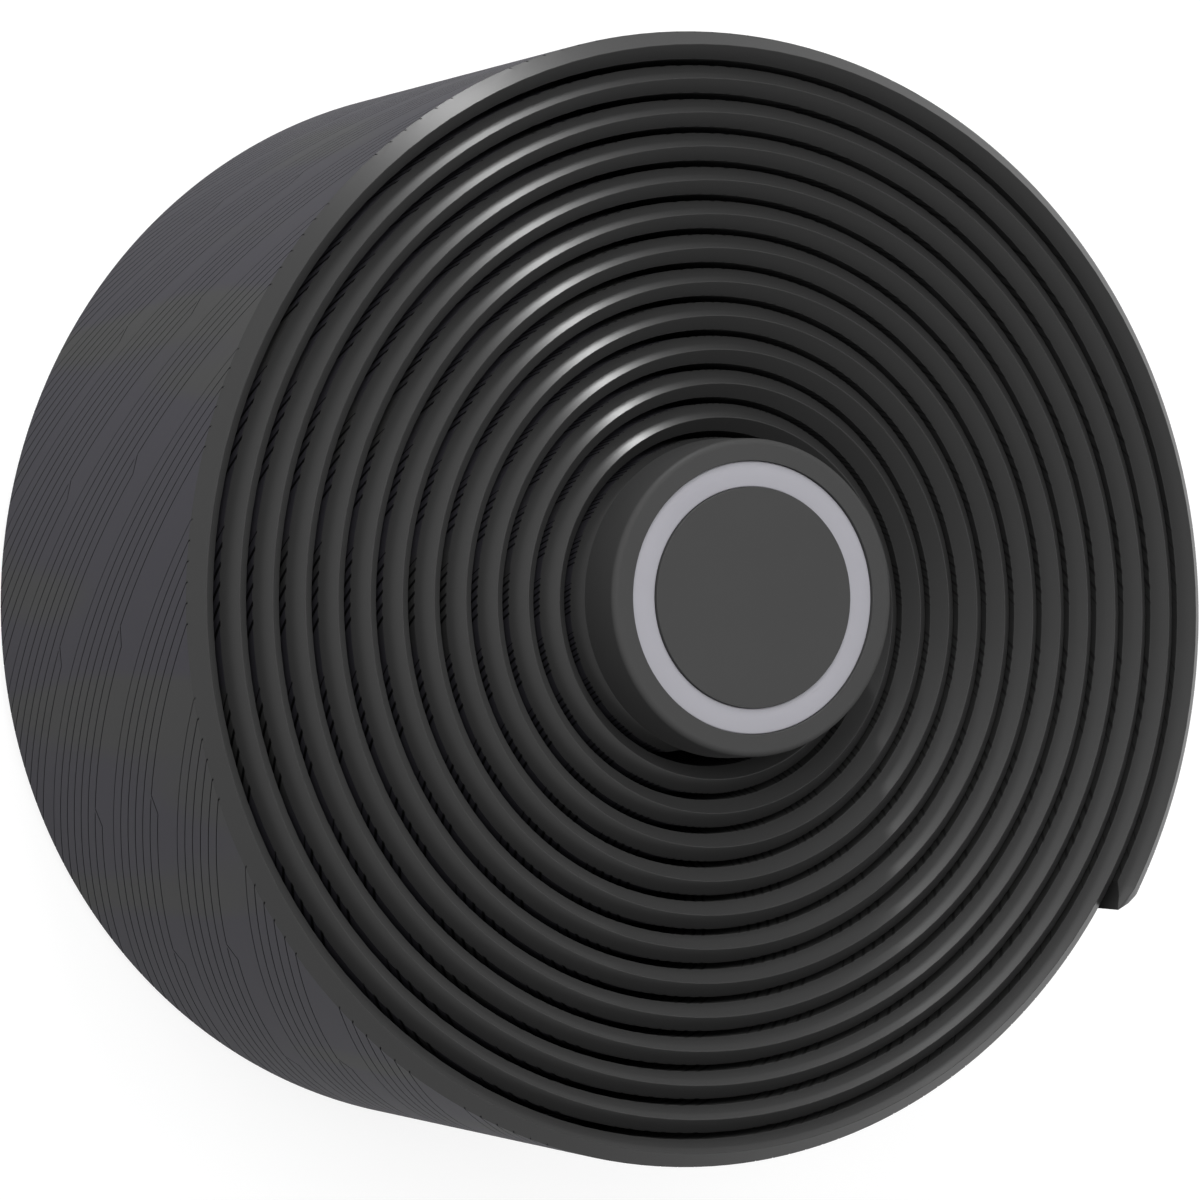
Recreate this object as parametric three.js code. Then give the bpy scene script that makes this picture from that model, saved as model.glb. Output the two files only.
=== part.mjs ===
// A roll of handlebar tape standing on its end, with a bar-end plug pushed into its core.
// Millimetres, +Z up. The origin lies under the middle of the roll's outline, where the roll stands.
import * as THREE from 'three';
import { mergeVertices } from 'three/addons/utils/BufferGeometryUtils.js';

// Tape, as cut: both long edges and both ends are bevelled from both faces down to a crease
const TAPE_WIDTH = 41;
const TAPE_THICKNESS = 2.03;
const EDGE_BEVEL = 1.46; // how far a long edge's bevels reach in from the crease
const END_BEVEL = 2.3; // how far an end's bevels reach in from the crease
const CREASE_DEPTH = 0.95; // from the outer face in to the middle of the crease
const CREASE_LAND = 0.36; // the flat along the crease

// Winding
const CORE_RADIUS = 9.34; // to the inner face, at the tape's inner end
const TURN_GAP = 0.47;
const TURNS = 12.818;
const OUTER_END_ANGLE = -34.5; // degrees, seen from above
const FACET_ANGLE = 10;

// Bar-end plug: cap
const CAP_HEIGHT = 4.55; // above the tape
const CAP_SEAT_GAP = 0.3; // between the cap's underside and the tape's crease
const CAP_LIP = 2.3; // how far the cap reaches out past the stem
const CAP_DRAFT = 0.15;
const CAP_ROUNDING = 0.45;

// Bar-end plug: stem with barbs, hollow from below
const STEM_LENGTH = 22;
const STEM_CLEARANCE = 0.5; // between the barbs and the tape's inner end
const STEM_WALL = 1.8;
const STEM_ROOT = 2.4; // from the cap's underside down to the first barb
const BARB_COUNT = 4;
const BARB_PITCH = 4.4;
const BARB_HEIGHT = 1.1;
const BARB_SLOPE = 3.2;
const CAP_WALL = 2.2; // solid above the stem's hollow

// Pale ring let into the cap
const RING_OUTER_RADIUS = 9.95;
const RING_WIDTH = 1.87;
const RING_THICKNESS = 0.8;
const RING_RECESS = 0.25; // its face below the cap's face
const RING_CLEARANCE = 0.1;

const ROUND_SEGMENTS = 48;
const ROUNDING_SEGMENTS = 4;

const tapeMaterial = new THREE.MeshStandardMaterial({ color: 0x2b2b2d, roughness: 0.55, metalness: 0 });
const plugMaterial = new THREE.MeshStandardMaterial({ color: 0x333333, roughness: 0.5, metalness: 0 });
const ringMaterial = new THREE.MeshStandardMaterial({ color: 0x9b9aa2, roughness: 0.45, metalness: 0 });

const pitch = TAPE_THICKNESS + TURN_GAP;
const innerEndAngle = OUTER_END_ANGLE + 360 * TURNS;

// The spiral: the outer face's radius where the tape has run on to this angle from its outer end
function outerFaceRadius(angle) {
  return CORE_RADIUS + TAPE_THICKNESS + (pitch * (innerEndAngle - angle)) / 360;
}

// The angle covered by a length of tape that lies at this radius
function angleOfLength(length, radius) {
  return THREE.MathUtils.radToDeg(length / radius);
}

// Sections along the tape: the two bevelled ends, and between them one at each multiple of the facet angle,
// so that neighbouring turns have their corners on the same rays and keep an even gap.
function sectionAngles() {
  const outerBevelEnd = OUTER_END_ANGLE + angleOfLength(END_BEVEL, outerFaceRadius(OUTER_END_ANGLE));
  const innerBevelEnd = innerEndAngle - angleOfLength(END_BEVEL, outerFaceRadius(innerEndAngle));
  const angles = [OUTER_END_ANGLE, outerBevelEnd];
  const first = Math.floor(outerBevelEnd / FACET_ANGLE) + 1;
  for (let i = first; i * FACET_ANGLE < innerBevelEnd; i++) {
    angles.push(i * FACET_ANGLE);
  }
  angles.push(innerBevelEnd, innerEndAngle);
  return angles;
}

// A long box, cut into sections along its length and into four rows of corners across its width, is wound up
// section by section. Its rows become the two creases and the four feet of the edge bevels.
function woundTape() {
  const angles = sectionAngles();
  const lastSection = angles.length - 1;
  const heights = [0, EDGE_BEVEL, TAPE_WIDTH - EDGE_BEVEL, TAPE_WIDTH];
  const lastRow = heights.length - 1;
  const box = new THREE.BoxGeometry(lastSection, 1, lastRow, lastSection, 1, lastRow);
  box.translate(lastSection / 2, 0, lastRow / 2);
  box.deleteAttribute('normal');
  box.deleteAttribute('uv');
  const tape = mergeVertices(box, 1e-4);
  const corner = tape.attributes.position;
  for (let i = 0; i < corner.count; i++) {
    const section = Math.round(corner.getX(i));
    const row = Math.round(corner.getZ(i));
    const outside = corner.getY(i) < 0;
    const atCrease = row === 0 || row === lastRow || section === 0 || section === lastSection;
    const faceDepth = outside ? 0 : TAPE_THICKNESS;
    const creaseDepth = CREASE_DEPTH + (outside ? -CREASE_LAND : CREASE_LAND) / 2;
    const radius = outerFaceRadius(angles[section]) - (atCrease ? creaseDepth : faceDepth);
    const angle = THREE.MathUtils.degToRad(angles[section]);
    corner.setXYZ(i, radius * Math.cos(angle), radius * Math.sin(angle), heights[row]);
  }
  tape.computeVertexNormals();
  return tape;
}

// The largest round stem that fits the spiral's core lies a quarter of the pitch away from the tape's inner end
const plugOffset = pitch / 4;
const plugAngle = THREE.MathUtils.degToRad(innerEndAngle + 180);
const stemRadius = CORE_RADIUS + plugOffset - STEM_CLEARANCE;
const shankRadius = stemRadius - BARB_HEIGHT;
const boreRadius = shankRadius - STEM_WALL;
const capRadius = stemRadius + CAP_LIP;

// Heights above the surface that the roll stands on
const capTop = TAPE_WIDTH + CAP_HEIGHT;
const capUnderside = TAPE_WIDTH + CAP_SEAT_GAP;
const stemEnd = capUnderside - STEM_LENGTH;
const boreTop = capTop - CAP_WALL;

// The ring groove's radii and floor
const ringInnerRadius = RING_OUTER_RADIUS - RING_WIDTH;
const ringTop = capTop - RING_RECESS;
const grooveOuterRadius = RING_OUTER_RADIUS + RING_CLEARANCE;
const grooveInnerRadius = ringInnerRadius - RING_CLEARANCE;
const grooveFloor = ringTop - RING_THICKNESS - RING_CLEARANCE;

// One saw-tooth barb for each step down the stem: square above, sloping in below
function barbOutline() {
  const points = [];
  for (let i = 0; i < BARB_COUNT; i++) {
    const top = capUnderside - STEM_ROOT - i * BARB_PITCH;
    points.push(new THREE.Vector2(shankRadius, top));
    points.push(new THREE.Vector2(stemRadius, top));
    points.push(new THREE.Vector2(shankRadius, top - BARB_SLOPE));
  }
  return points;
}

// The cap's rim, rounded from the side up on to the face
function rimOutline() {
  const sideRadius = capRadius - CAP_DRAFT;
  const points = [];
  for (let i = 0; i <= ROUNDING_SEGMENTS; i++) {
    const turn = (Math.PI / 2) * (1 - i / ROUNDING_SEGMENTS);
    points.push(new THREE.Vector2(
      sideRadius - CAP_ROUNDING * (1 - Math.cos(turn)),
      capTop - CAP_ROUNDING * (1 - Math.sin(turn)),
    ));
  }
  return points;
}

// The plug's half section, from the middle of its face out over the cap, down the stem and up the bore
function endPlug() {
  const outline = [
    new THREE.Vector2(0, capTop),
    new THREE.Vector2(grooveInnerRadius, capTop),
    new THREE.Vector2(grooveInnerRadius, grooveFloor),
    new THREE.Vector2(grooveOuterRadius, grooveFloor),
    new THREE.Vector2(grooveOuterRadius, capTop),
    ...rimOutline(),
    new THREE.Vector2(capRadius, capUnderside),
    new THREE.Vector2(shankRadius, capUnderside),
    ...barbOutline(),
    new THREE.Vector2(shankRadius, stemEnd),
    new THREE.Vector2(boreRadius, stemEnd),
    new THREE.Vector2(boreRadius, boreTop),
    new THREE.Vector2(0, boreTop),
  ];
  return new THREE.LatheGeometry(outline.reverse(), ROUND_SEGMENTS);
}

function plugRing() {
  const ringBase = ringTop - RING_THICKNESS;
  const outline = [
    new THREE.Vector2(ringInnerRadius, ringBase),
    new THREE.Vector2(RING_OUTER_RADIUS, ringBase),
    new THREE.Vector2(RING_OUTER_RADIUS, ringTop),
    new THREE.Vector2(ringInnerRadius, ringTop),
    new THREE.Vector2(ringInnerRadius, ringBase),
  ];
  return new THREE.LatheGeometry(outline, ROUND_SEGMENTS);
}

// A lathe turns about Y, and the roll's axis is Z
function standUp(geometry) {
  return geometry.rotateX(Math.PI / 2);
}

function named(name, geometry, material) {
  const mesh = new THREE.Mesh(geometry, material);
  mesh.name = name;
  return mesh;
}

const group = new THREE.Group();
const tape = named('tape', woundTape(), tapeMaterial);
group.add(tape);

const plug = new THREE.Group();
plug.position.set(plugOffset * Math.cos(plugAngle), plugOffset * Math.sin(plugAngle), 0);
plug.add(named('end_plug', standUp(endPlug()), plugMaterial));
plug.add(named('plug_ring', standUp(plugRing()), ringMaterial));
group.add(plug);

// The spiral's outline isn't round, so its middle is a little off the spiral's own axis
tape.geometry.computeBoundingBox();
const outlineMiddle = tape.geometry.boundingBox.getCenter(new THREE.Vector3());
group.position.set(-outlineMiddle.x, -outlineMiddle.y, 0);

export default group;
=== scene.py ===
"""A roll of handlebar tape standing on its end, with its bar-end plug pushed into the core."""

import math

import bmesh
import bpy
import numpy as np
from bpy.props import FloatProperty, FloatVectorProperty, IntProperty, PointerProperty
from mathutils import Matrix, Vector


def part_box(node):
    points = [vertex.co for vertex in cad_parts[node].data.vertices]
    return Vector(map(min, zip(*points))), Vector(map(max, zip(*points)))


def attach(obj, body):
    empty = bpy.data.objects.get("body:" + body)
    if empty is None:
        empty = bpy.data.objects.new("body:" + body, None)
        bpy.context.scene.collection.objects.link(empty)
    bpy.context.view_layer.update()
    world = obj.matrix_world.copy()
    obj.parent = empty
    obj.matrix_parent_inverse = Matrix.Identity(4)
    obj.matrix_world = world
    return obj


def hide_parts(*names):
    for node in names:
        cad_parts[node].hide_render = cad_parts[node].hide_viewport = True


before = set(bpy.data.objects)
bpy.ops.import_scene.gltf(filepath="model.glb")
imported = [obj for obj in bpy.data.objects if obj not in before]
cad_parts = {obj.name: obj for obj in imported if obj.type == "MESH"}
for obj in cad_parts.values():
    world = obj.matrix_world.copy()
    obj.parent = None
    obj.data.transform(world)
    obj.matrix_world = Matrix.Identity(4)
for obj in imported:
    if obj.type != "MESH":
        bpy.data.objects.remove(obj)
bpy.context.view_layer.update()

bl_info = {
    "name": "Handlebar tape roll",
    "version": (1, 0, 0),
    "blender": (4, 5, 0),
    "location": "3D View > Sidebar > Tape roll",
    "description": "Winds a roll of grooved handlebar tape and fits its bar-end plug",
    "category": "Object",
}

MM = 0.001
WHITE = (1.0, 1.0, 1.0, 1.0)
BLACK = (0.0, 0.0, 0.0, 1.0)

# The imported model's boxes
TAPE_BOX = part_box("tape")
PLUG_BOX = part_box("end_plug")
RING_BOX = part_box("plug_ring")

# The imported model's spiral: the outer end's place is in degrees, seen from above
PITCH = 2.5 * MM
TURNS = 12.818
OUTER_END_ANGLE = -34.5

# Where rows and columns lie across a bevel, from the crease to its foot, and half the land along the crease
HALF_LAND = 0.02 * MM
OUTER_SHARES = (0.0, 0.5, 0.9)
INNER_SHARES = (0.0, 0.5, 0.9, 1.0)
END_SHARES = (0.0, 0.5, 0.9, 1.0)

# How far along the tape the grooves are cut into the mesh, in degrees of turning: the outermost turn and a
# little more. Columns keep clear of the end bevels, and grooves fade out towards both ends.
CUT_TURNING = 372.0
END_CLEARANCE = 0.3
GROOVE_CLEARANCE = 0.1
GROOVE_FADE = 0.5

# Half a groove's floor and the border rows' reach, as shares of half its mouth, the places of a groove's four
# columns, and the rows across each band of the face
FLOOR_SHARE = 0.4
BORDER_SHARE = 0.45
GROOVE_SIDES = (-1.0, -FLOOR_SHARE, FLOOR_SHARE, 1.0)
BAND_ROWS = 11

# The slope at the start of a new groove, and how far below it the next band's rows begin
START_SLOPE = 0.08 * MM
BAND_INSET = 0.9 * MM

# Where the material takes over: the radius at which a groove's mark has its true width, what is added to that
# width in the gaps, and, in mm, how deep the marks reach on a bevel and how wide the inner face's rim is. The
# marks are painted shade: dark groove lines in the shaded gaps.
MARK_RADIUS = 43 * MM
GAP_WIDENING = 1.8
MARK_DEPTH = 0.9
INNER_RIM = 0.05

# Edges sharper than these angles, in degrees, stay sharp
TAPE_SHARPNESS = 12
PLUG_SHARPNESS = 35
RING_SHARPNESS = 40

# The corners round a turned piece, the distance within which two points are one, and a small step in degrees
# or metres that settles what lies on a border
ROUND_SEGMENTS = 192
SAME_POINT = 1e-7
NEARLY = 1e-6


def plug_axis():
    """Where the plug's axis stands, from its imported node."""
    low, high = PLUG_BOX
    return ((low[0] + high[0]) / 2, (low[1] + high[1]) / 2)


def spiral_axis():
    """Where the spiral's axis stands: a quarter of the pitch from the plug's, towards the inner end."""
    turned = math.radians(OUTER_END_ANGLE + 360 * TURNS)
    x, y = plug_axis()
    return (x + PITCH / 4 * math.cos(turned), y + PITCH / 4 * math.sin(turned))


def length(name, description, default):
    return FloatProperty(
        name=name,
        description=description,
        default=default,
        unit="LENGTH",
        subtype="DISTANCE",
        precision=5,
    )


def colour(name, description, default):
    return FloatVectorProperty(
        name=name, description=description, default=default, size=3, subtype="COLOR", min=0.0, max=1.0
    )


# Sizes and colours that a user would change


class TapeSizes(bpy.types.PropertyGroup):
    width: length("Width", "From one long edge of the tape to the other", TAPE_BOX[1][2] - TAPE_BOX[0][2])
    thickness: length("Thickness", "From the outer face to the inner face", 2.03 * MM)
    edge_bevel: length("Edge bevel", "How far a long edge's bevels reach in from the crease", 1.46 * MM)
    end_bevel: length("End bevel", "How far an end's bevels reach in from the crease", 2.3 * MM)
    crease_depth: length("Crease depth", "From the outer face in to the crease", 1.08 * MM)
    crease_drop: length("Crease drop", "How far the top crease lies below the tape's full width", 0.28 * MM)
    tip_depth: length("Tip depth", "The crease's depth at the tip of the outer end", 1.55 * MM)
    core_radius: length("Core radius", "To the inner face, at the tape's inner end", 9.34 * MM)
    pitch: length("Pitch", "How much further out each turn lies", PITCH)
    turns: FloatProperty(name="Turns", description="How often the tape goes round", default=TURNS, min=1.0)
    outer_end: FloatProperty(
        name="Outer end",
        description="Where the outer end lies, seen from above",
        default=math.radians(OUTER_END_ANGLE),
        unit="ROTATION",
        subtype="ANGLE",
    )
    column_angle: FloatProperty(
        name="Column angle",
        description="How far apart the mesh's columns lie along the tape",
        default=math.radians(3.0),
        min=math.radians(1.0),
        unit="ROTATION",
        subtype="ANGLE",
    )


class GrooveSizes(bpy.types.PropertyGroup):
    groups: IntProperty(name="Groups", description="Groups of grooves in one turn", default=21, min=1)
    first_angle: FloatProperty(
        name="First groove",
        description="Where one group's first groove meets the top edge, seen from above",
        default=math.radians(154.07),
        unit="ROTATION",
        subtype="ANGLE",
    )
    spacing_angle: FloatProperty(
        name="Spacing",
        description="From one groove to the next in a group",
        default=math.radians(2.0),
        unit="ROTATION",
        subtype="ANGLE",
    )
    first_count: IntProperty(
        name="First row", description="Grooves in a group of the first row", default=6, min=1
    )
    row_count: IntProperty(name="Rows", description="Rows of grooves across the tape", default=3, min=1)
    groove_width: length("Groove width", "Across the mouth of a groove", 0.13 * MM)
    groove_depth: length("Groove depth", "From the face to a groove's floor", 0.13 * MM)
    start_gap: length("Start gap", "From a row's border to where its new groove starts", 0.42 * MM)


class PlugSizes(bpy.types.PropertyGroup):
    cap_radius: length("Cap radius", "At the cap's underside", 11.765 * MM)
    cap_draft: length("Draft", "How much narrower the cap is under its rounding", 0.15 * MM)
    rounding: length("Rim rounding", "Radius of the rounding round the cap's face", 0.45 * MM)
    cap_underside: length("Cap underside", "Its height above the floor", 41.3 * MM)
    stem_radius: length("Stem radius", "Over the barbs", 9.465 * MM)
    shank_radius: length("Shank radius", "Between the barbs", 8.365 * MM)
    bore_radius: length("Bore radius", "Of the hollow in the stem", 6.565 * MM)
    bore_top: length("Bore top", "Height of the hollow's closed end", 43.35 * MM)
    stem_root: length("Stem root", "From the cap's underside to the first barb", 2.4 * MM)
    barbs: IntProperty(name="Barbs", description="Barbs down the stem", default=4, min=0)
    barb_pitch: length("Barb pitch", "From one barb to the next", 4.4 * MM)
    barb_slope: length("Barb slope", "Height of a barb's sloping side", 3.2 * MM)
    groove_floor: length("Groove floor", "Height of the floor of the ring's groove", 44.4 * MM)
    ring_outer: length("Ring radius", "To the ring's outer side", 9.95 * MM)
    ring_inner: length("Ring bore", "To the ring's inner side", 8.08 * MM)
    ring_clearance: length("Ring clearance", "Between the ring and its groove", 0.02 * MM)


class RollColours(bpy.types.PropertyGroup):
    face: colour("Face", "The tape's smooth outer skin", (0.0527, 0.051, 0.0608))
    cut_edge: colour("Cut edge", "The bevelled edges, where the foam is cut", (0.0212, 0.0212, 0.0212))
    # The groove colour is painted shade: it darkens the grooves over their cut shape.
    groove: colour("Groove", "The floor of a groove", (0.014, 0.014, 0.016))
    plug: colour("Plug", "The moulded cap and stem", (0.050, 0.050, 0.050))
    ring: colour("Ring", "The pale ring in the cap", (0.300, 0.296, 0.324))
    floor: colour("Floor", "The studio floor, as it lights the roll", (0.5, 0.5, 0.5))
    floor_shade: colour("Floor shade", "How strongly the shadow on the floor shows", (0.22, 0.22, 0.22))
    # Painted shade: near-black groove marks on the skin of the inner turns, in the shaded gaps.
    gap_painted_shade: colour("Gap mark", "A groove's mark on the skin in the gaps", (0.002, 0.002, 0.002))
    # Painted shade: near-black groove marks on the bevels and the inner face, in the shaded gaps.
    bevel_painted_shade: colour("Bevel mark", "A groove's mark on the bevels in the gaps", (0.003, 0.003, 0.003))


class StudioSettings(bpy.types.PropertyGroup):
    floor_size: length("Floor size", "Width of the floor", 3.0)
    floor_glow: FloatProperty(
        name="Floor glow",
        description="What is added to the floor where it is seen, so that it looks white",
        default=0.86,
    )
    floor_gloss: FloatProperty(
        name="Floor in gloss", description="The share of the floor glow that is seen in gloss", default=0.74
    )
    # A painted shadow: within this radius under the roll the floor's glow is left off.
    painted_shadow_radius: length("Covered floor", "Radius of the floor under the roll, which is dark in the gaps", 38 * MM)
    surround: FloatProperty(
        name="Surround", description="Strength of the even light from all round", default=0.235
    )
    edge_lamp: FloatProperty(
        name="Edge lamp",
        description="Power of the low strip lamp behind the roll, seen only in gloss",
        default=3.0,
        unit="POWER",
    )
    top_lamp: FloatProperty(
        name="Top lamp", description="Power of the large soft lamp over the roll", default=2.1, unit="POWER"
    )
    back_lamp: FloatProperty(
        name="Back lamp", description="Power of the soft lamp behind the roll", default=1.8, unit="POWER"
    )
    left_lamp: FloatProperty(
        name="Left lamp", description="Power of the low soft lamp at the left", default=0.5, unit="POWER"
    )
    side_lamp: FloatProperty(
        name="Side lamp", description="Power of the large soft lamp at the left", default=1.0, unit="POWER"
    )


# Node trees as Python expressions


class Wire:
    """One output of a node. Python arithmetic on it adds Math nodes to the board that it is on."""

    def __init__(self, board, socket):
        self.board = board
        self.socket = socket

    def maths(self, operation, *operands):
        return self.board.node("ShaderNodeMath", {"operation": operation}, dict(enumerate(operands)))

    def __add__(self, other):
        return self.maths("ADD", self, other)

    def __radd__(self, other):
        return self.maths("ADD", other, self)

    def __sub__(self, other):
        return self.maths("SUBTRACT", self, other)

    def __rsub__(self, other):
        return self.maths("SUBTRACT", other, self)

    def __mul__(self, other):
        return self.maths("MULTIPLY", self, other)

    def __truediv__(self, other):
        return self.maths("DIVIDE", self, other)

    def __mod__(self, other):
        return self.maths("FLOORED_MODULO", self, other)

    def __gt__(self, other):
        return self.maths("GREATER_THAN", self, other)

    def __lt__(self, other):
        return self.maths("LESS_THAN", self, other)

    def __abs__(self):
        return self.maths("ABSOLUTE", self)

    def floor(self):
        return self.maths("FLOOR", self)

    def round(self):
        return self.maths("ROUND", self)

    def root(self):
        return self.maths("SQRT", self)

    def sin(self):
        return self.maths("SINE", self)

    def cos(self):
        return self.maths("COSINE", self)

    def at_most(self, other):
        return self.maths("MINIMUM", self, other)

    def at_least(self, other):
        return self.maths("MAXIMUM", self, other)

    def ramp(self, start, end):
        """Runs smoothly from 0 at one value to 1 at another."""
        settings = {"interpolation_type": "SMOOTHSTEP"}
        sockets = {"Value": self, "From Min": start, "From Max": end}
        return self.board.node("ShaderNodeMapRange", settings, sockets)


class Board:
    """A node tree that is being laid out."""

    def __init__(self, tree):
        self.tree = tree
        tree.nodes.clear()

    def node(self, kind, settings=None, sockets=None, output=0):
        """Adds a node, sets it up, then fills or links its sockets, and gives back one of its outputs."""
        new = self.tree.nodes.new(kind)
        for name, value in (settings or {}).items():
            setattr(new, name, value)
        for key, value in (sockets or {}).items():
            if isinstance(value, Wire):
                self.tree.links.new(value.socket, new.inputs[key])
            else:
                new.inputs[key].default_value = value
        return Wire(self, new.outputs[output]) if len(new.outputs) else None

    def parts(self, vector):
        """The three numbers of a vector."""
        first = self.node("ShaderNodeSeparateXYZ", None, {0: vector})
        return [Wire(self, socket) for socket in first.socket.node.outputs]

    def blend(self, amount, start, end):
        """A colour between two colours."""
        return self.node("ShaderNodeMix", {"data_type": "RGBA"}, {0: amount, 6: start, 7: end}, 2)

    def noise(self, place, scale, detail=2.0, roughness=0.5):
        sockets = {"Vector": place, "Scale": scale, "Detail": detail, "Roughness": roughness}
        return self.node("ShaderNodeTexNoise", None, sockets)


def rgba(shade, factor=1.0):
    """A colour for a socket, made darker or paler by a factor."""
    return (*[part * factor for part in shade], 1.0)


def new_material(name):
    material = bpy.data.materials.new(name)
    material.use_nodes = True
    return material, Board(material.node_tree)


def object_place(board, middle=(0.0, 0.0, 0.0), scale=(1.0, 1.0, 1.0)):
    """A point's place on its piece, measured from a middle and stretched."""
    place = board.node("ShaderNodeTexCoord", None, None, "Object")
    moved = tuple(-m * s for m, s in zip(middle, scale))
    return board.node("ShaderNodeMapping", None, {"Vector": place, "Location": moved, "Scale": scale})


def bumped(board, height, strength, distance):
    sockets = {"Height": height, "Strength": strength, "Distance": distance}
    return board.node("ShaderNodeBump", None, sockets)


def groove_mask(board, tape, grooves, turning, across):
    """1 in the grooves and 0 on the plain face, from a point's place on the flat tape.

    On the inner turns the marks are wider and reach past the face's upper border, to show in the gaps as
    painted shade.
    """
    period = 360 / grooves.groups
    spacing = math.degrees(grooves.spacing_angle)
    row_width = (tape.width - 2 * tape.edge_bevel) / grooves.row_count / MM
    half_width = math.degrees(grooves.groove_width / 2 / MARK_RADIUS)
    start = math.degrees(tape.outer_end - grooves.first_angle)
    row = (across / row_width).floor().at_least(0.0).at_most(grooves.row_count - 1.0)
    below = across - row * row_width
    last = row + (grooves.first_count - 1.0)
    along = (turning + start - across * (period / row_width)) % period
    number = (along / spacing).round().at_most(last)
    inner_turn = turning > CUT_TURNING
    away = abs(along - number * spacing) / (1.0 + inner_turn * GAP_WIDENING)
    groove = 1.0 - away.ramp(half_width * 0.7, half_width * 1.7)
    inner_row = row > 0.5
    at_new = 1.0 - abs(number - (last - 1.0)).ramp(0.2, 0.4)
    start_gap = grooves.start_gap / MM
    unstarted = at_new * inner_row * (1.0 - below.ramp(start_gap - 0.06, start_gap + 0.04))
    on_link = (along > (last - 1.0) * spacing) * (along < last * spacing) * inner_row
    link = on_link * (1.0 - below.ramp(0.06, 0.14))
    on_face = (across > inner_turn * -0.03 - 0.02) * (across < row_width * grooves.row_count + 0.02)
    return (groove * (1.0 - unstarted)).at_least(link) * on_face


def strip_place(board, tape):
    """A point's place on the flat tape: turning in degrees, and in mm its depth, height and way down."""
    strip = board.node("ShaderNodeAttribute", {"attribute_name": "strip"}, None, "Vector")
    turning, depth, height = board.parts(strip)
    across = (tape.width - tape.edge_bevel) / MM - height
    return turning, depth, height, across


def skin_material(tape, grooves, colours):
    """The smooth outer skin: a very fine grain, faint clouds of tint, and painted shade in the grooves and
    gaps.
    """
    material, board = new_material("grooved_skin")
    turning, _, _, across = strip_place(board, tape)
    place = object_place(board)
    mask = groove_mask(board, tape, grooves, turning, across)
    clouds = board.noise(place, 45.0, 3.0)
    grain = board.noise(place, 5200.0, 3.0, 0.6)
    upright = object_place(board, scale=(1.0, 1.0, 0.12))
    tint = board.noise(upright, 110.0, 1.0).ramp(0.56, 0.66)
    grey = [sum(colours.face) / 3.0] * 3
    cloudy = board.blend(clouds, rgba(colours.face, 0.95), rgba(colours.face))
    face = board.blend(tint, cloudy, rgba(grey))
    # Painted shade: the grooves are darkened towards the groove colour.
    with_painted_shade = board.blend(mask * 0.9, face, rgba(colours.groove))
    # Painted shade: near-black groove marks on the inner turns, where they lie in the shaded gaps.
    base = board.blend(mask * (turning > CUT_TURNING), with_painted_shade, rgba(colours.gap_painted_shade))
    skin = bumped(board, grain, 0.10, 0.02 * MM)
    shader = board.node(
        "ShaderNodeBsdfPrincipled",
        None,
        {
            "Base Color": base,
            "Roughness": 0.52 + (clouds - 0.5) * 0.06 + grain * 0.05 + mask * 0.1,
            "Specular IOR Level": 0.06,
            "Normal": skin,
        },
    )
    board.node("ShaderNodeOutputMaterial", None, {"Surface": shader})
    return material


def cut_material(tape, grooves, colours):
    """The cut foam of the bevels and the inner face, with fine cells and a little wear on the crease.

    It shines on the outer side of the crease and is duller on the inner side. The inner bevel and the inner
    face are painted paler, as painted light in the shaded troughs and gaps.
    """
    material, board = new_material("cut_foam")
    turning, depth, height, across = strip_place(board, tape)
    place = object_place(board)
    edge_distance = height.at_most((tape.width - tape.crease_drop) / MM - height)
    mask = groove_mask(board, tape, grooves, turning, across)
    cells = board.noise(place, 7000.0, 1.0, 0.6)
    clouds = board.noise(place, 60.0, 3.0)
    wear = (1.0 - edge_distance.ramp(0.02, 0.22)) * board.noise(place, 900.0, 2.0).ramp(0.35, 0.75)
    foam = board.blend(cells, rgba(colours.cut_edge, 0.94), rgba(colours.cut_edge, 1.06))
    # The pale colour carries the real wear on the crease, and painted light on the inner side.
    pale = rgba(colours.cut_edge, 1.6)
    worn = board.blend(wear * 0.1, foam, pale)
    # Painted light: the inner bevel and the inner face are made paler, standing in for light that the troughs
    # and gaps shade off.
    inner_side = depth > tape.crease_depth / MM
    inner_face = depth > tape.thickness / MM - INNER_RIM
    base = board.blend(inner_face, board.blend(inner_side * 0.45, worn, pale), pale)
    normal = bumped(board, cells, 0.04, 0.01 * MM)
    shader = board.node(
        "ShaderNodeBsdfPrincipled",
        None,
        {
            "Base Color": base,
            "Roughness": 0.31 + (clouds - 0.5) * 0.04 + cells * 0.04 + inner_side * 0.26,
            "Specular IOR Level": 0.40,
            "Normal": normal,
        },
    )
    # Painted shade: a near-black surface over the groove marks on the bevels and the inner face in the gaps.
    dark = board.node("ShaderNodeBsdfDiffuse", None, {"Color": rgba(colours.bevel_painted_shade)})
    painted_shade_share = mask * ((depth < MARK_DEPTH) + inner_face * 0.5)
    with_painted_shade = board.node("ShaderNodeMixShader", None, {0: painted_shade_share, 1: shader, 2: dark})
    board.node("ShaderNodeOutputMaterial", None, {"Surface": with_painted_shade})
    return material


def plug_material(colours):
    """Moulded plastic: an even fine grain from the mould, and a roughness that varies in soft clouds."""
    material, board = new_material("moulded_plug")
    place = object_place(board, (*plug_axis(), 0.0))
    grain = board.noise(place, 3600.0, 4.0, 0.55)
    clouds = board.noise(place, 120.0, 3.0)
    base = board.blend(clouds, rgba(colours.plug, 0.92), rgba(colours.plug, 1.08))
    shine = 0.43 + grain * 0.07 + clouds * 0.05
    normal = bumped(board, grain, 0.16, 0.02 * MM)
    shader = board.node(
        "ShaderNodeBsdfPrincipled",
        None,
        {"Base Color": base, "Roughness": shine, "Specular IOR Level": 0.08, "Normal": normal},
    )
    board.node("ShaderNodeOutputMaterial", None, {"Surface": shader})
    return material


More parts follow.
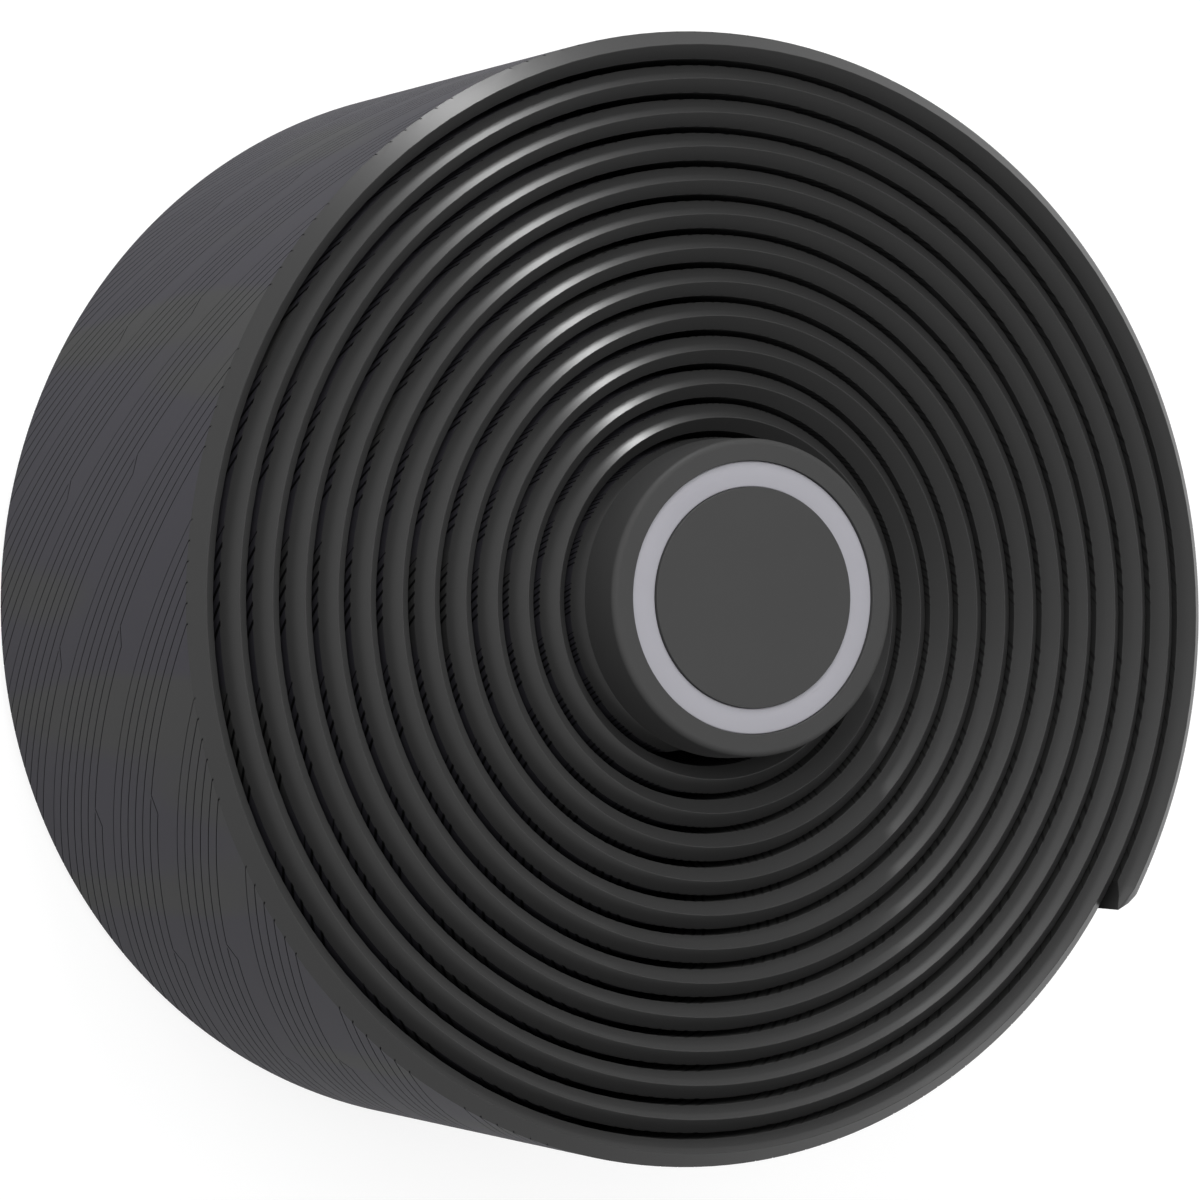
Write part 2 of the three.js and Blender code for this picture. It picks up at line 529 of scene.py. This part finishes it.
def ring_material(colours):
    """Pale satin plastic with faint turning marks round the ring."""
    material, board = new_material("satin_ring")
    in_mm = (1 / MM, 1 / MM, 1 / MM)
    x, y, _ = board.parts(object_place(board, (*plug_axis(), 0.0), in_mm))
    sockets = {"W": (x * x + y * y).root(), "Scale": 9.0, "Detail": 4.0}
    marks = board.node("ShaderNodeTexNoise", {"noise_dimensions": "1D"}, sockets)
    clouds = board.noise(object_place(board), 160.0, 3.0)
    base = board.blend(clouds, rgba(colours.ring, 0.95), rgba(colours.ring, 1.05))
    shine = 0.36 + marks * 0.1
    normal = bumped(board, marks, 0.12, 0.02 * MM)
    shader = board.node(
        "ShaderNodeBsdfPrincipled",
        None,
        {"Base Color": base, "Roughness": shine, "Normal": normal},
    )
    board.node("ShaderNodeOutputMaterial", None, {"Surface": shader})
    return material


# The flat tape


class FlatTape:
    """Cuts the flat tape's mesh: rows of points run along it, one after the other round its section."""

    def __init__(self, tape, grooves):
        self.tape = tape
        self.grooves = grooves
        self.full = 360 * tape.turns
        self.points = []
        self.faces = []
        self.column_step = math.degrees(tape.column_angle)
        self.period = 360 / grooves.groups
        self.spacing = math.degrees(grooves.spacing_angle)
        self.face_width = tape.width - 2 * tape.edge_bevel
        self.row_width = self.face_width / grooves.row_count
        self.patch_end = CUT_TURNING
        self.outer_bevel_angle = self.bevel_angle(self.radius(0.0))
        self.inner_bevel_angle = self.bevel_angle(self.radius(self.full))

    def radius(self, turning):
        tape = self.tape
        return tape.core_radius + tape.thickness + tape.pitch * (self.full - turning) / 360

    def bevel_angle(self, radius):
        return math.degrees(self.tape.end_bevel / radius)

    def end_share(self, turning):
        """How far across an end's bevel a point lies, from 0 at the crease to 1 past the bevel."""
        outer = turning / self.outer_bevel_angle
        inner = (self.full - turning) / self.inner_bevel_angle
        return min(outer, inner, 1.0)

    def crease_depth(self, turning):
        """The crease lies in one depth all along, but bends inward over the outer end's bevel."""
        past = min(turning / self.outer_bevel_angle, 1.0)
        return self.tape.crease_depth + (self.tape.tip_depth - self.tape.crease_depth) * (1 - past)

    def face_depth(self, turning, share, outside):
        """Depth of the outer or inner surface at a share of a bevel's width from the crease."""
        crease = self.crease_depth(turning)
        deepest = crease if outside else self.tape.thickness - crease
        half = HALF_LAND + share * (deepest - HALF_LAND)
        return crease - half if outside else crease + half

    def end_columns(self):
        """Names and places of the columns across the two end bevels."""
        columns = []
        for i, share in enumerate(END_SHARES):
            columns.append((("outer end", i), share * self.outer_bevel_angle))
            columns.append((("inner end", i), self.full - share * self.inner_bevel_angle))
        return columns

    def even_columns(self, start):
        """Columns at even steps along the tape, from a place on."""
        step = self.column_step
        first = self.outer_bevel_angle + END_CLEARANCE
        last = self.full - self.inner_bevel_angle - END_CLEARANCE
        columns = []
        for n in range(math.ceil(start / step), math.ceil(self.full / step)):
            if first < n * step < last:
                columns.append((("even", n), n * step))
        return columns

    def groove_columns(self, across):
        """Slanted columns: four to a groove and some on the plain face between two groups."""
        shift = self.period * across / self.row_width
        phase = (math.degrees(self.grooves.first_angle - self.tape.outer_end)) % self.period
        half_mouth = math.degrees(self.grooves.groove_width / 2 / self.radius(180.0))
        most = self.grooves.first_count + self.grooves.row_count - 1
        plain = self.period - (most - 1) * self.spacing
        offsets = []
        for k in range(most):
            for side in GROOVE_SIDES:
                offsets.append(k * self.spacing + side * half_mouth)
        offsets.append((most - 1) * self.spacing + plain * 0.5)
        columns = []
        first = math.floor((-shift - phase) / self.period) - 1
        last = math.ceil((self.patch_end - shift - phase) / self.period) + 1
        for group in range(first, last):
            for i, offset in enumerate(offsets):
                place = phase + group * self.period + offset + shift
                if self.outer_bevel_angle + GROOVE_CLEARANCE < place < self.patch_end - GROOVE_CLEARANCE:
                    columns.append((("groove", group, i), place))
        return columns

    def groove_share(self, key, across):
        """How deep a slanted column lies across the tape: 0 on the face and 1 on a groove's floor."""
        if key[0] != "groove":
            return 0.0
        most = self.grooves.first_count + self.grooves.row_count - 1
        k, side = divmod(key[2], len(GROOVE_SIDES))
        if k >= most:
            return 0.0
        on_floor = side in (1, 2)
        reach = BORDER_SHARE * self.grooves.groove_width / 2
        for border in range(1, self.grooves.row_count):
            last = self.grooves.first_count - 1 + border
            below = across - border * self.row_width
            if abs(below) < reach:
                if k == last - 1 and side >= 1 or k == last and side <= 2:
                    return 1.0
            if k == last and below < reach:
                return 0.0
            if k == last - 1 and reach < below < self.grooves.start_gap:
                return 0.0
        return 1.0 if on_floor else 0.0

    def face_rows(self):
        """Distances across the outer face at which its rows lie."""
        half = self.grooves.groove_width / 2
        gap = self.grooves.start_gap
        places = []
        start = 0.0
        for border in range(1, self.grooves.row_count):
            middle = border * self.row_width
            places.extend(np.linspace(start, middle - half, BAND_ROWS))
            places.extend([middle - FLOOR_SHARE * half, middle + FLOOR_SHARE * half, middle + half])
            places.extend([middle + gap - START_SLOPE, middle + gap])
            start = middle + gap + BAND_INSET
        places.extend(np.linspace(start, self.face_width, BAND_ROWS))
        return places

    def add_row(self, columns, height, edge_share, outside, across=None):
        """One row of points. Where it lies on the outer face, the grooves sink into it."""
        row = []
        for key, turning in sorted(columns, key=lambda column: column[1]):
            end = self.end_share(turning)
            depth = self.face_depth(turning, min(edge_share, end), outside)
            if across is not None and end >= 1.0:
                from_ends = min(turning - self.outer_bevel_angle, self.patch_end - turning)
                fade = min(1.0, from_ends / GROOVE_FADE)
                depth += self.grooves.groove_depth * self.groove_share(key, across) * fade
            row.append((key, len(self.points)))
            self.points.append((turning, depth, height))
        return row

    def join(self, first, second):
        """Faces between two neighbouring rows: one from each column that both have to the next."""
        where = {key: i for i, (key, _) in enumerate(second)}
        shared = [(i, where[key]) for i, (key, _) in enumerate(first) if key in where]
        for (a, c), (b, d) in zip(shared, shared[1:]):
            lower = [point for _, point in first[a : b + 1]]
            upper = [point for _, point in second[c : d + 1]]
            self.add_face(lower + upper[::-1])

    def add_face(self, corners):
        """Adds a face, split along the mitre where it crosses one."""
        if len(corners) == 4 and self.on_mitre(corners[0]) and self.on_mitre(corners[2]):
            a, b, c, d = corners
            self.faces.extend([(a, b, c), (a, c, d)])
        elif len(corners) == 4 and self.on_mitre(corners[1]) and self.on_mitre(corners[3]):
            a, b, c, d = corners
            self.faces.extend([(a, b, d), (b, c, d)])
        else:
            self.faces.append(tuple(corners))

    def on_mitre(self, point):
        """Whether a point lies where a long edge's bevel meets an end's."""
        turning, _, height = self.points[point]
        tape = self.tape
        close = 1e-4
        top = (tape.width - tape.crease_drop - height) / (tape.edge_bevel - tape.crease_drop)
        edge = min(height / tape.edge_bevel, top)
        return abs(edge - self.end_share(turning)) < close and edge < 1 + close

    def edge_rows(self, top, outside):
        """Rows over one bevel of a long edge, from the crease to the bevel's foot."""
        tape = self.tape
        shares = OUTER_SHARES if outside else INNER_SHARES
        rows = []
        for share in shares:
            height = share * tape.edge_bevel
            if top:
                height = tape.width - tape.crease_drop - share * (tape.edge_bevel - tape.crease_drop)
            columns = self.end_columns() + self.even_columns(0.0)
            if outside and share == OUTER_SHARES[-1]:
                across = tape.width - tape.edge_bevel - height
                patch = self.groove_columns(across)
                columns = [*columns, *patch, (("patch end",), self.patch_end)]
            rows.append(self.add_row(columns, height, share, outside))
        return rows

    def outer_face(self):
        """Rows over the outer face: the grooved outermost turn, and below it only the two feet."""
        tape = self.tape
        top = tape.width - tape.edge_bevel
        rows = []
        places = self.face_rows()
        for i, across in enumerate(places):
            columns = [c for c in self.end_columns() if c[0][0] == "outer end"]
            columns += self.groove_columns(across) + [(("patch end",), self.patch_end)]
            if i in (0, len(places) - 1):
                columns += [c for c in self.end_columns() if c[0][0] == "inner end"]
                columns += self.even_columns(self.patch_end + GROOVE_CLEARANCE)
            rows.append(self.add_row(columns, top - across, 1.0, True, across))
        return rows

    def cut(self):
        """The whole closed strip, as points and faces."""
        top_outer = self.edge_rows(True, True)
        face = self.outer_face()
        bottom_outer = self.edge_rows(False, True)[::-1]
        bottom_inner = self.edge_rows(False, False)
        top_inner = self.edge_rows(True, False)[::-1]
        loop = [*top_outer, *face, *bottom_outer, *bottom_inner, *top_inner]
        for first, second in zip(loop, loop[1:] + loop[:1]):
            if not (first is face[0] and second is face[-1]):
                self.join(first, second)
        self.close_ends(loop)
        self.cover_inner_turns(face)
        return self.points, self.faces

    def close_ends(self, loop):
        for key in (("outer end", 0), ("inner end", 0)):
            ring = [point for row in loop for name, point in row if name == key]
            self.faces.append(tuple(ring))

    def cover_inner_turns(self, face):
        """Plain faces from foot to foot past the grooved patch, and one that meets the patch's border."""
        top = [p for k, p in face[0] if self.points[p][0] >= self.patch_end - NEARLY]
        bottom = [p for k, p in face[-1] if self.points[p][0] >= self.patch_end - NEARLY]
        border = [p for row in face for k, p in row if k == ("patch end",)]
        self.faces.append((*border, bottom[1], top[1]))
        for i in range(1, len(top) - 1):
            self.faces.append((top[i], top[i + 1], bottom[i + 1], bottom[i]))


def on_outer_face(tape, corners):
    """Whether a face of the flat tape lies on its outer face, grooves included, and not on a bevel."""
    foot = tape.edge_bevel - NEARLY
    deepest = 0.2 * MM
    return all(depth < deepest and foot < height < tape.width - foot for _, depth, height in corners)


def winding_tree():
    """Geometry nodes that wind a flat strip on to a spiral: x is its turning in degrees, y its depth."""
    tree = bpy.data.node_groups.new("wind_on_to_spiral", "GeometryNodeTree")
    board = Board(tree)
    face = tree.interface
    face.new_socket("Geometry", in_out="OUTPUT", socket_type="NodeSocketGeometry")
    face.new_socket("Geometry", in_out="INPUT", socket_type="NodeSocketGeometry")
    for name in ("Core radius", "Thickness", "Pitch", "Full turning", "Outer end angle", "Axis X", "Axis Y"):
        face.new_socket(name, in_out="INPUT", socket_type="NodeSocketFloat")
    face.new_socket("Cut foam", in_out="INPUT", socket_type="NodeSocketMaterial")
    face.new_socket("Skin", in_out="INPUT", socket_type="NodeSocketMaterial")
    entry = board.node("NodeGroupInput").socket.node
    given = {socket.name: Wire(board, socket) for socket in entry.outputs if socket.name}
    turning, depth, height = board.parts(board.node("GeometryNodeInputPosition"))
    left_to_wind = (given["Full turning"] - turning) / 360.0
    radius = given["Core radius"] + given["Thickness"] + given["Pitch"] * left_to_wind - depth
    angle = (given["Outer end angle"] + turning) * (math.pi / 180)
    x = given["Axis X"] + radius * angle.cos()
    y = given["Axis Y"] + radius * angle.sin()
    place = board.node("ShaderNodeCombineXYZ", None, {0: x, 1: y, 2: height})
    wound = board.node("GeometryNodeSetPosition", None, {"Geometry": given["Geometry"], "Position": place})
    real = board.node("GeometryNodeRealizeInstances", None, {"Geometry": wound})
    foam = board.node("GeometryNodeSetMaterial", None, {"Geometry": real, "Material": given["Cut foam"]})
    on_skin = board.node("GeometryNodeInputNamedAttribute", {"data_type": "BOOLEAN"}, {"Name": "skin"})
    sockets = {"Geometry": foam, "Selection": on_skin, "Material": given["Skin"]}
    skinned = board.node("GeometryNodeSetMaterial", None, sockets)
    board.node("NodeGroupOutput", None, {0: skinned})
    return tree


def set_modifier_inputs(modifier, tree, values):
    for item in tree.interface.items_tree:
        if item.item_type == "SOCKET" and item.in_out == "INPUT" and item.name in values:
            modifier[item.identifier] = values[item.name]


def plain_mesh(source, name):
    """Gives an object its evaluated shape as a plain mesh, and takes its modifiers off."""
    graph = bpy.context.evaluated_depsgraph_get()
    mesh = bpy.data.meshes.new_from_object(source.evaluated_get(graph), depsgraph=graph)
    mesh.name = name
    source.modifiers.clear()
    old = source.data
    source.data = mesh
    bpy.data.meshes.remove(old)


def tidy_mesh(mesh, crease_angle):
    """Closes doubles, turns all faces outward and marks the sharp edges."""
    work = bmesh.new()
    work.from_mesh(mesh)
    bmesh.ops.remove_doubles(work, verts=work.verts, dist=SAME_POINT)
    bmesh.ops.recalc_face_normals(work, faces=work.faces)
    open_edges = sum(1 for edge in work.edges if not edge.is_manifold)
    if open_edges:
        raise RuntimeError(f"{mesh.name} has {open_edges} open or doubled edges")
    for face in work.faces:
        face.smooth = True
    work.to_mesh(mesh)
    work.free()
    mesh.set_sharp_from_angle(angle=math.radians(crease_angle))


def new_piece(name, points, faces):
    mesh = bpy.data.meshes.new(name)
    mesh.from_pydata(points, [], faces)
    piece = bpy.data.objects.new(name, mesh)
    bpy.context.scene.collection.objects.link(piece)
    return piece


class TAPEROLL_OT_wind_tape(bpy.types.Operator):
    """Cut the grooved tape flat and wind it up"""

    bl_idname = "taperoll.wind_tape"
    bl_label = "Wind the tape"
    bl_options = {"REGISTER", "UNDO"}

    def execute(self, context):
        scene = context.scene
        tape = scene.roll_tape
        points, faces = FlatTape(tape, scene.roll_grooves).cut()
        piece = new_piece("wound_tape", points, faces)
        strip = piece.data.attributes.new("strip", "FLOAT_VECTOR", "POINT")
        flat = np.array(points) * (1.0, 1 / MM, 1 / MM)
        strip.data.foreach_set("vector", flat.astype(np.float32).ravel())
        skin = piece.data.attributes.new("skin", "BOOLEAN", "FACE")
        on_skin = [on_outer_face(tape, [points[i] for i in face]) for face in faces]
        skin.data.foreach_set("value", on_skin)
        tree = winding_tree()
        winder = piece.modifiers.new("Wind", "NODES")
        winder.node_group = tree
        axis = spiral_axis()
        sizes = {
            "Core radius": tape.core_radius,
            "Thickness": tape.thickness,
            "Pitch": tape.pitch,
            "Full turning": 360 * tape.turns,
            "Outer end angle": math.degrees(tape.outer_end),
            "Axis X": axis[0],
            "Axis Y": axis[1],
            "Cut foam": cut_material(tape, scene.roll_grooves, scene.roll_colours),
            "Skin": skin_material(tape, scene.roll_grooves, scene.roll_colours),
        }
        set_modifier_inputs(winder, tree, sizes)
        context.view_layer.update()
        plain_mesh(piece, "wound_tape")
        tidy_mesh(piece.data, TAPE_SHARPNESS)
        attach(piece, "root")
        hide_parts("tape")
        return {"FINISHED"}


# The plug


def rounded(radius, height, size, start, end, steps):
    """Points round a quarter circle of a section, about a middle, from one angle to another in degrees."""
    points = []
    for i in range(steps + 1):
        turn = math.radians(start + (end - start) * i / steps)
        points.append((radius + size * math.cos(turn), height + size * math.sin(turn)))
    return points


def turned_piece(name, outline, axis, segments, closed=False):
    """A section turned round an upright axis. Points on the axis become one pole each."""
    points = []
    rings = []
    for radius, height in outline:
        if radius < SAME_POINT:
            rings.append([len(points)])
            points.append((axis[0], axis[1], height))
            continue
        ring = []
        for i in range(segments):
            turn = 2 * math.pi * i / segments
            ring.append(len(points))
            points.append((axis[0] + radius * math.cos(turn), axis[1] + radius * math.sin(turn), height))
        rings.append(ring)
    faces = []
    pairs = list(zip(rings, rings[1:]))
    if closed:
        pairs.append((rings[-1], rings[0]))
    for first, second in pairs:
        for i in range(segments):
            j = (i + 1) % segments
            lower = [first[i % len(first)], first[j % len(first)]]
            upper = [second[j % len(second)], second[i % len(second)]]
            faces.append(tuple(dict.fromkeys(lower + upper)))
    return new_piece(name, points, faces)


class TAPEROLL_OT_mould_plug(bpy.types.Operator):
    """Mould the bar-end plug: its cap with the ring's groove, and the barbed hollow stem"""

    bl_idname = "taperoll.mould_plug"
    bl_label = "Mould the plug"
    bl_options = {"REGISTER", "UNDO"}

    def outline(self, sizes):
        top = PLUG_BOX[1][2]
        stem_end = PLUG_BOX[0][2]
        side = sizes.cap_radius - sizes.cap_draft
        lip = 0.04 * MM
        inner_wall = sizes.ring_inner - sizes.ring_clearance
        outer_wall = sizes.ring_outer + sizes.ring_clearance
        edge = 0.12 * MM
        small = 0.15 * MM
        bore_rounding = 0.5 * MM
        bore_side = sizes.bore_radius - bore_rounding
        points = [(0.0, top), (inner_wall * 0.5, top), (inner_wall - 2.5 * lip, top)]
        points += rounded(inner_wall - lip, top - lip, lip, 90, 0, 4)
        points += [(inner_wall, sizes.groove_floor), (outer_wall, sizes.groove_floor)]
        points += rounded(outer_wall + lip, top - lip, lip, 180, 90, 4)
        points += [(outer_wall + 2.5 * lip, top), (side - sizes.rounding - lip, top)]
        points += rounded(side - sizes.rounding, top - sizes.rounding, sizes.rounding, 90, 0, 12)
        points.append((side + 0.01 * MM, top - sizes.rounding - 2 * lip))
        points += rounded(sizes.cap_radius - edge, sizes.cap_underside + edge, edge, 0, -90, 4)
        points += rounded(sizes.shank_radius + small, sizes.cap_underside - small, small, 90, 180, 4)
        for i in range(sizes.barbs):
            barb = sizes.cap_underside - sizes.stem_root - i * sizes.barb_pitch
            points.append((sizes.shank_radius, barb))
            points += rounded(sizes.stem_radius - small, barb - small, small, 90, 20, 4)
            points.append((sizes.shank_radius, barb - sizes.barb_slope))
        points += rounded(sizes.shank_radius - small, stem_end + small, small, 0, -90, 4)
        points += rounded(sizes.bore_radius + small, stem_end + small, small, -90, -180, 4)
        points += rounded(bore_side, sizes.bore_top - bore_rounding, bore_rounding, 0, 90, 5)
        points.append((0.0, sizes.bore_top))
        return points

    def execute(self, context):
        sizes = context.scene.roll_plug
        piece = turned_piece("moulded_plug", self.outline(sizes), plug_axis(), ROUND_SEGMENTS)
        tidy_mesh(piece.data, PLUG_SHARPNESS)
        piece.data.materials.append(plug_material(context.scene.roll_colours))
        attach(piece, "root")
        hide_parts("end_plug")
        return {"FINISHED"}


class TAPEROLL_OT_set_ring(bpy.types.Operator):
    """Set the pale ring into the cap's groove"""

    bl_idname = "taperoll.set_ring"
    bl_label = "Set the ring"
    bl_options = {"REGISTER", "UNDO"}

    def outline(self, sizes):
        base = RING_BOX[0][2]
        top = RING_BOX[1][2]
        edge = 0.1 * MM
        points = rounded(sizes.ring_outer - edge, base + edge, edge, -90, 0, 3)
        points += rounded(sizes.ring_outer - edge, top - edge, edge, 0, 90, 5)
        points += rounded(sizes.ring_inner + edge, top - edge, edge, 90, 180, 5)
        points += rounded(sizes.ring_inner + edge, base + edge, edge, 180, 270, 3)
        return points

    def execute(self, context):
        sizes = context.scene.roll_plug
        piece = turned_piece("pale_ring", self.outline(sizes), plug_axis(), ROUND_SEGMENTS, True)
        tidy_mesh(piece.data, RING_SHARPNESS)
        piece.data.materials.append(ring_material(context.scene.roll_colours))
        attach(piece, "root")
        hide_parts("plug_ring")
        return {"FINISHED"}


# The studio: all lamps aim at one point, and the camera stands where the photo was taken from

LAMP_AIM = Vector((0.0, 0.0, 0.03))
EYE = Vector((-161.698, -1.804, 335.089)) * MM
RIGHT = Vector((0.88973, -0.01231, 0.45633))
FORWARD = Vector((0.45641, 0.00529, -0.88975))
LENS = 136.54


class TAPEROLL_OT_set_stage(bpy.types.Operator):
    """Lay the pale floor and set up the camera and the lamps"""

    bl_idname = "taperoll.set_stage"
    bl_label = "Set the stage"
    bl_options = {"REGISTER", "UNDO"}

    def execute(self, context):
        scene = context.scene
        studio = scene.roll_studio
        scene.view_settings.view_transform = "Standard"
        self.lay_floor(studio, scene.roll_colours)
        self.light_surround(scene, studio)
        self.hang_lamp("edge_lamp", studio.edge_lamp, (-0.069, 0.596, 0.16), (0.03, 0.09), True)
        self.hang_lamp("top_lamp", studio.top_lamp, (0.0, 0.12, 0.60), (0.40, 0.40))
        self.hang_lamp("side_lamp", studio.side_lamp, (-0.35, 0.25, 0.45), (0.30, 0.30))
        self.hang_lamp("back_lamp", studio.back_lamp, (-0.05, 0.55, 0.42), (0.30, 0.30))
        self.hang_lamp("left_lamp", studio.left_lamp, (-0.60, 0.05, 0.20), (0.30, 0.20))
        self.place_camera(scene)
        return {"FINISHED"}

    def seen_rays(self, board):
        """Two wires: one for what is seen straight, and one for what is seen in gloss or through glass."""
        rays = board.node("ShaderNodeLightPath").socket.node.outputs
        straight = Wire(board, rays["Is Camera Ray"])
        glossy = Wire(board, rays["Is Glossy Ray"])
        through = Wire(board, rays["Is Transmission Ray"])
        return straight, straight.at_least(glossy).at_least(through)

    def lay_floor(self, studio, colours):
        """A floor that lights the roll as pale paint does, and looks white round it, with a painted shadow
        under it.
        """
        half = studio.floor_size / 2
        points = [(-half, -half, 0), (half, -half, 0), (half, half, 0), (-half, half, 0)]
        floor = new_piece("studio_floor", points, [(0, 1, 2, 3)])
        material, board = new_material("pale_floor")
        plain = board.node("ShaderNodeBsdfDiffuse", None, {"Color": rgba(colours.floor)})
        shade = board.node("ShaderNodeBsdfDiffuse", None, {"Color": rgba(colours.floor_shade)})
        straight, seen = self.seen_rays(board)
        tone = board.blend(straight, rgba([studio.floor_gloss] * 3), WHITE)
        # Painted shadow: under the roll the glow is left off, so the floor there shows dark.
        x, y, _ = board.parts(object_place(board))
        under = (x * x + y * y) < studio.painted_shadow_radius * studio.painted_shadow_radius
        tone = board.blend(under, tone, BLACK)
        glow = board.node("ShaderNodeEmission", None, {"Color": tone, "Strength": studio.floor_glow})
        lit = board.node("ShaderNodeAddShader", None, {0: shade, 1: glow})
        floor_shader = board.node("ShaderNodeMixShader", None, {0: seen, 1: plain, 2: lit})
        board.node("ShaderNodeOutputMaterial", None, {"Surface": floor_shader})
        floor.data.materials.append(material)

    def light_surround(self, scene, studio):
        """An even surround that lights the roll softly and looks white."""
        world = bpy.data.worlds.new("even_surround")
        world.use_nodes = True
        scene.world = world
        board = Board(world.node_tree)
        even = board.node("ShaderNodeBackground", None, {"Color": WHITE, "Strength": studio.surround})
        white = board.node("ShaderNodeBackground", None, {"Color": WHITE, "Strength": 1.0})
        _, seen = self.seen_rays(board)
        surround = board.node("ShaderNodeMixShader", None, {0: seen, 1: even, 2: white})
        board.node("ShaderNodeOutputWorld", None, {"Surface": surround})

    def hang_lamp(self, name, power, place, size, gloss_only=False):
        """A lamp that gives only highlights, or a soft one that gives none."""
        light = bpy.data.lights.new(name, "AREA")
        light.shape = "RECTANGLE"
        light.size, light.size_y = size
        light.energy = power
        lamp = bpy.data.objects.new(name, light)
        lamp.location = place
        toward = LAMP_AIM - Vector(place)
        lamp.rotation_euler = toward.to_track_quat("-Z", "Y").to_euler()
        lamp.visible_camera = False
        lamp.visible_diffuse = not gloss_only
        lamp.visible_glossy = gloss_only
        bpy.context.scene.collection.objects.link(lamp)

    def place_camera(self, scene):
        camera = bpy.data.cameras.new("camera")
        camera.sensor_width = 36
        camera.lens = LENS
        camera.clip_start = 0.01
        holder = bpy.data.objects.new("camera", camera)
        back = -FORWARD.normalized()
        right = (RIGHT - back * RIGHT.dot(back)).normalized()
        up = back.cross(right)
        turned = Matrix((right, up, back)).transposed().to_4x4()
        holder.matrix_world = Matrix.Translation(EYE) @ turned
        scene.collection.objects.link(holder)
        scene.camera = holder


class TAPEROLL_PT_panel(bpy.types.Panel):
    """Lists the roll's pieces and their sizes"""

    bl_idname = "TAPEROLL_PT_panel"
    bl_label = "Handlebar tape roll"
    bl_space_type = "VIEW_3D"
    bl_region_type = "UI"
    bl_category = "Tape roll"

    def draw(self, context):
        layout = self.layout
        for name, group in SETTINGS.items():
            box = layout.box()
            settings = getattr(context.scene, name)
            for size in group.__annotations__:
                box.prop(settings, size)
        for operator in OPERATORS:
            layout.operator(operator.bl_idname)


SETTINGS = {
    "roll_tape": TapeSizes,
    "roll_grooves": GrooveSizes,
    "roll_plug": PlugSizes,
    "roll_colours": RollColours,
    "roll_studio": StudioSettings,
}
OPERATORS = (TAPEROLL_OT_wind_tape, TAPEROLL_OT_mould_plug, TAPEROLL_OT_set_ring, TAPEROLL_OT_set_stage)


def register():
    for group in (*SETTINGS.values(), *OPERATORS, TAPEROLL_PT_panel):
        bpy.utils.register_class(group)
    for name, group in SETTINGS.items():
        setattr(bpy.types.Scene, name, PointerProperty(type=group))


def unregister():
    for name in SETTINGS:
        delattr(bpy.types.Scene, name)
    for group in reversed((*SETTINGS.values(), *OPERATORS, TAPEROLL_PT_panel)):
        bpy.utils.unregister_class(group)


def main():
    register()
    bpy.ops.taperoll.wind_tape()
    bpy.ops.taperoll.mould_plug()
    bpy.ops.taperoll.set_ring()
    bpy.ops.taperoll.set_stage()


if __name__ == "__main__":
    main()
